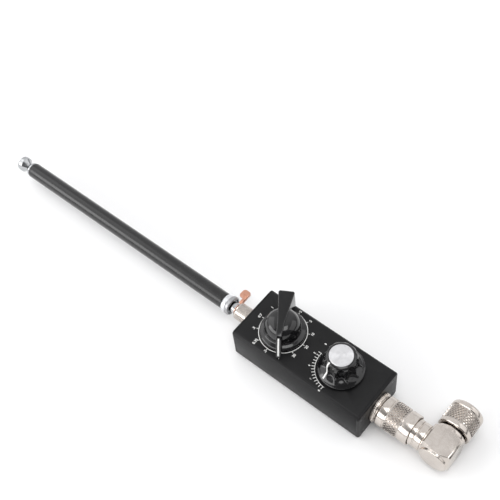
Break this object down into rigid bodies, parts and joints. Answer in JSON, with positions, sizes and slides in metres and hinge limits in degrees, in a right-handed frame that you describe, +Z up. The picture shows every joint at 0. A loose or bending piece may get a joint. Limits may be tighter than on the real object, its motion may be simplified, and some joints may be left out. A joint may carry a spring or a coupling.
{
  "type": "antenna tuner",
  "caption": "Pocket antenna tuner: black two-knob case, telescopic whip with a black grip on one end, right-angle coax plug with two knurled coupling nuts on the other.",
  "frame": {"origin": "centre of the case's bottom face", "axes": "+X from the case to the right-angle plug, -X along the whip, +Y to the back where the radio-side nut points, +Z up through the knobs"},
  "size_m": [0.339, 0.0455, 0.0401],
  "materials": {
    "case_black": "satin black paint on aluminium",
    "steel": "satin",
    "knob_black": "glossy",
    "white_line": "matte",
    "phenolic": "satin",
    "nickel": "nickel plate",
    "brass": "satin",
    "white_plastic": "satin",
    "silver_plate": "satin",
    "spun_aluminium": "spun",
    "copper": "bare copper",
    "board_green": "satin",
    "core_yellow": "satin",
    "component": "glossy",
    "wire_orange": "satin",
    "whip_chrome": "chrome plate",
    "shrink_black": "glossy"
  },
  "bodies": {
    "chassis": {"case_body": "case_black", "case_top": "case_black", "end_plate_antenna": "case_black", "end_plate_connector": "case_black", "end_plate_screws": "case_black", "switch_housing": "phenolic", "switch_washer": "steel", "switch_nut": "nickel", "switch_terminals": "silver_plate", "switch_detent": "steel", "capacitor_housing": "white_plastic", "capacitor_screws": "steel", "capacitor_stator": "silver_plate", "capacitor_wiper": "copper", "circuit_board": "board_green", "board_posts": "brass", "board_screws": "steel", "toroid_core": "core_yellow", "toroid_winding": "copper", "disc_capacitors": "component", "axial_coils": "component", "hookup_wires": "wire_orange", "socket_body": "nickel", "socket_ring_nut": "nickel", "socket_insulator": "white_plastic", "socket_contact": "brass", "elbow_body": "nickel", "elbow_inner_insulator": "white_plastic", "elbow_inner_pin": "brass", "elbow_outer_insulator": "white_plastic", "elbow_outer_pin": "brass", "antenna_boss": "nickel", "antenna_bushing": "knob_black", "antenna_back_nut": "nickel", "antenna_stud": "steel", "antenna_lug": "copper", "antenna_washer": "steel", "whip_base_nut": "steel", "whip_collar": "whip_chrome", "whip_sleeve": "shrink_black", "whip_tube_1": "whip_chrome"},
    "band_control": {"band_knob": "knob_black", "band_pointer_line": "white_line", "band_set_screw": "steel", "switch_shaft": "brass", "switch_rotor": "white_plastic"},
    "tuning_control": {"tuning_knob": "knob_black", "tuning_cap": "spun_aluminium", "tuning_pointer_line": "white_line", "tuning_set_screw": "steel", "capacitor_shaft": "brass", "capacitor_rotor": "silver_plate"},
    "socket_nut": {"coupling_nut_socket": "nickel"},
    "radio_nut": {"coupling_nut_radio": "nickel"},
    "section_2": {"whip_tube_2": "whip_chrome"},
    "section_3": {"whip_tube_3": "whip_chrome"},
    "section_4": {"whip_tube_4": "whip_chrome"},
    "section_5": {"whip_tube_5": "whip_chrome"},
    "section_6": {"whip_tube_6": "whip_chrome"},
    "section_7": {"whip_rod": "whip_chrome"}
  },
  "joints": [
    {"name": "band_switch_turn", "type": "hinge", "parent": "chassis", "child": "band_control", "pos_m": [-0.0212, 0, 0.024], "axis": [0, 0, 1], "range_deg": [-150, 180]},
    {"name": "tuning_turn", "type": "hinge", "parent": "chassis", "child": "tuning_control", "pos_m": [0.0188, 0.0008, 0.024], "axis": [0, 0, 1], "range_deg": [-160, 20]},
    {"name": "socket_nut_spin", "type": "hinge", "parent": "chassis", "child": "socket_nut", "pos_m": [0.064, 0, 0.012], "axis": [1, 0, 0], "continuous": true},
    {"name": "radio_nut_spin", "type": "hinge", "parent": "chassis", "child": "radio_nut", "pos_m": [0.084, 0.02, 0.012], "axis": [0, 1, 0], "continuous": true},
    {"name": "whip_slide_1", "type": "slide", "parent": "chassis", "child": "section_2", "axis": [-1, 0, 0], "range_m": [0, 0.155]},
    {"name": "whip_slide_2", "type": "slide", "parent": "section_2", "child": "section_3", "axis": [-1, 0, 0], "range_m": [0, 0.155]},
    {"name": "whip_slide_3", "type": "slide", "parent": "section_3", "child": "section_4", "axis": [-1, 0, 0], "range_m": [0, 0.155]},
    {"name": "whip_slide_4", "type": "slide", "parent": "section_4", "child": "section_5", "axis": [-1, 0, 0], "range_m": [0, 0.155]},
    {"name": "whip_slide_5", "type": "slide", "parent": "section_5", "child": "section_6", "axis": [-1, 0, 0], "range_m": [0, 0.155]},
    {"name": "whip_slide_6", "type": "slide", "parent": "section_6", "child": "section_7", "axis": [-1, 0, 0], "range_m": [0, 0.155]}
  ]
}
